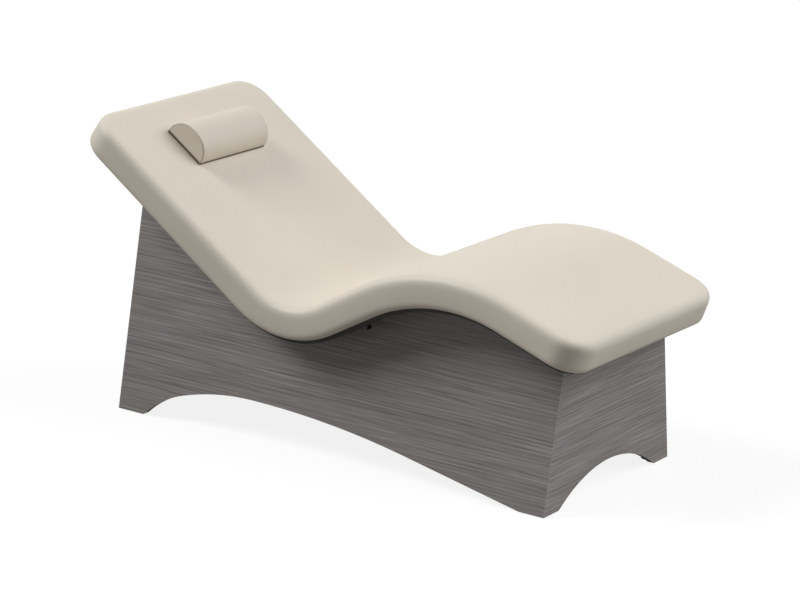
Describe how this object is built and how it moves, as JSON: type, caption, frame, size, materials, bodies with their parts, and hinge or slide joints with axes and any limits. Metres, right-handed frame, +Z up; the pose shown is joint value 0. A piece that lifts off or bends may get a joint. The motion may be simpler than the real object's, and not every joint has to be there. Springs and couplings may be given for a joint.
{
  "type": "spa relaxation lounger",
  "caption": "Fixed wave-shaped relaxation lounger: a thick vinyl pad with a raised back and knee on a boxed laminate base with arched lower edges, with a half-round head pillow.",
  "frame": {"origin": "on the floor, under the middle of the whole object", "axes": "+X from the head end to the leg end, +Y towards the far long side, +Z up"},
  "size_m": [1.6924, 0.762, 0.8647],
  "materials": {
    "base_laminate": "matt laminate, grey-taupe, with fine horizontal wood grain",
    "edge_band": "matt laminate edge strip, grey-taupe",
    "frame_timber": "planed softwood, bare",
    "plywood": "birch plywood, bare",
    "deck_plywood": "bent plywood, painted dark brown, matt",
    "pad_vinyl": "smooth upholstery vinyl, warm cream, satin",
    "foam": "open-cell foam",
    "dust_cloth": "black non-woven cloth",
    "pillow_vinyl": "smooth upholstery vinyl, warm cream, satin",
    "grip_sheet": "dark non-slip sheet, matt",
    "foot_plastic": "black nylon, matt",
    "zinc_steel": "zinc-plated steel"
  },
  "bodies": {
    "lounger": {"side_panel_near": "base_laminate", "side_panel_far": "base_laminate", "end_panel_head": "base_laminate", "end_panel_leg": "base_laminate", "side_edge_band_near": "edge_band", "side_edge_band_far": "edge_band", "end_edge_band_head": "edge_band", "end_edge_band_leg": "edge_band", "corner_post_head_near": "frame_timber", "corner_post_head_far": "frame_timber", "corner_post_leg_near": "frame_timber", "corner_post_leg_far": "frame_timber", "long_rail_near": "frame_timber", "long_rail_far": "frame_timber", "rib_head": "plywood", "rib_back": "plywood", "rib_seat": "plywood", "rib_ramp": "plywood", "rib_knee": "plywood", "rib_calf": "plywood", "deck_board": "deck_plywood", "pad_board": "plywood", "foam_core": "foam", "foam_topper": "foam", "pad_cover": "pad_vinyl", "dust_cover": "dust_cloth", "foot_inserts": "zinc_steel", "deck_screws": "zinc_steel", "post_screws": "zinc_steel", "rail_screws": "zinc_steel", "rib_screws": "zinc_steel", "pad_washers": "zinc_steel", "pad_bolts": "zinc_steel", "pad_t_nuts": "zinc_steel", "hem_staples": "zinc_steel"},
    "pillow": {"pillow_foam": "foam", "pillow_cover": "pillow_vinyl", "pillow_grip_base": "grip_sheet"},
    "foot_head_near": {"foot_disc_head_near": "foot_plastic", "foot_stem_head_near": "zinc_steel"},
    "foot_head_far": {"foot_disc_head_far": "foot_plastic", "foot_stem_head_far": "zinc_steel"},
    "foot_leg_near": {"foot_disc_leg_near": "foot_plastic", "foot_stem_leg_near": "zinc_steel"},
    "foot_leg_far": {"foot_disc_leg_far": "foot_plastic", "foot_stem_leg_far": "zinc_steel"}
  },
  "joints": [
    {"name": "pillow_slide", "type": "slide", "parent": "lounger", "child": "pillow", "axis": [0.8231, 0, -0.5678], "range_m": [-0.07, 0.2]},
    {"name": "foot_head_near_screw", "type": "slide", "parent": "lounger", "child": "foot_head_near", "axis": [0, 0, -1], "range_m": [0, 0.015]},
    {"name": "foot_head_far_screw", "type": "slide", "parent": "lounger", "child": "foot_head_far", "axis": [0, 0, -1], "range_m": [0, 0.015]},
    {"name": "foot_leg_near_screw", "type": "slide", "parent": "lounger", "child": "foot_leg_near", "axis": [0, 0, -1], "range_m": [0, 0.015]},
    {"name": "foot_leg_far_screw", "type": "slide", "parent": "lounger", "child": "foot_leg_far", "axis": [0, 0, -1], "range_m": [0, 0.015]}
  ]
}
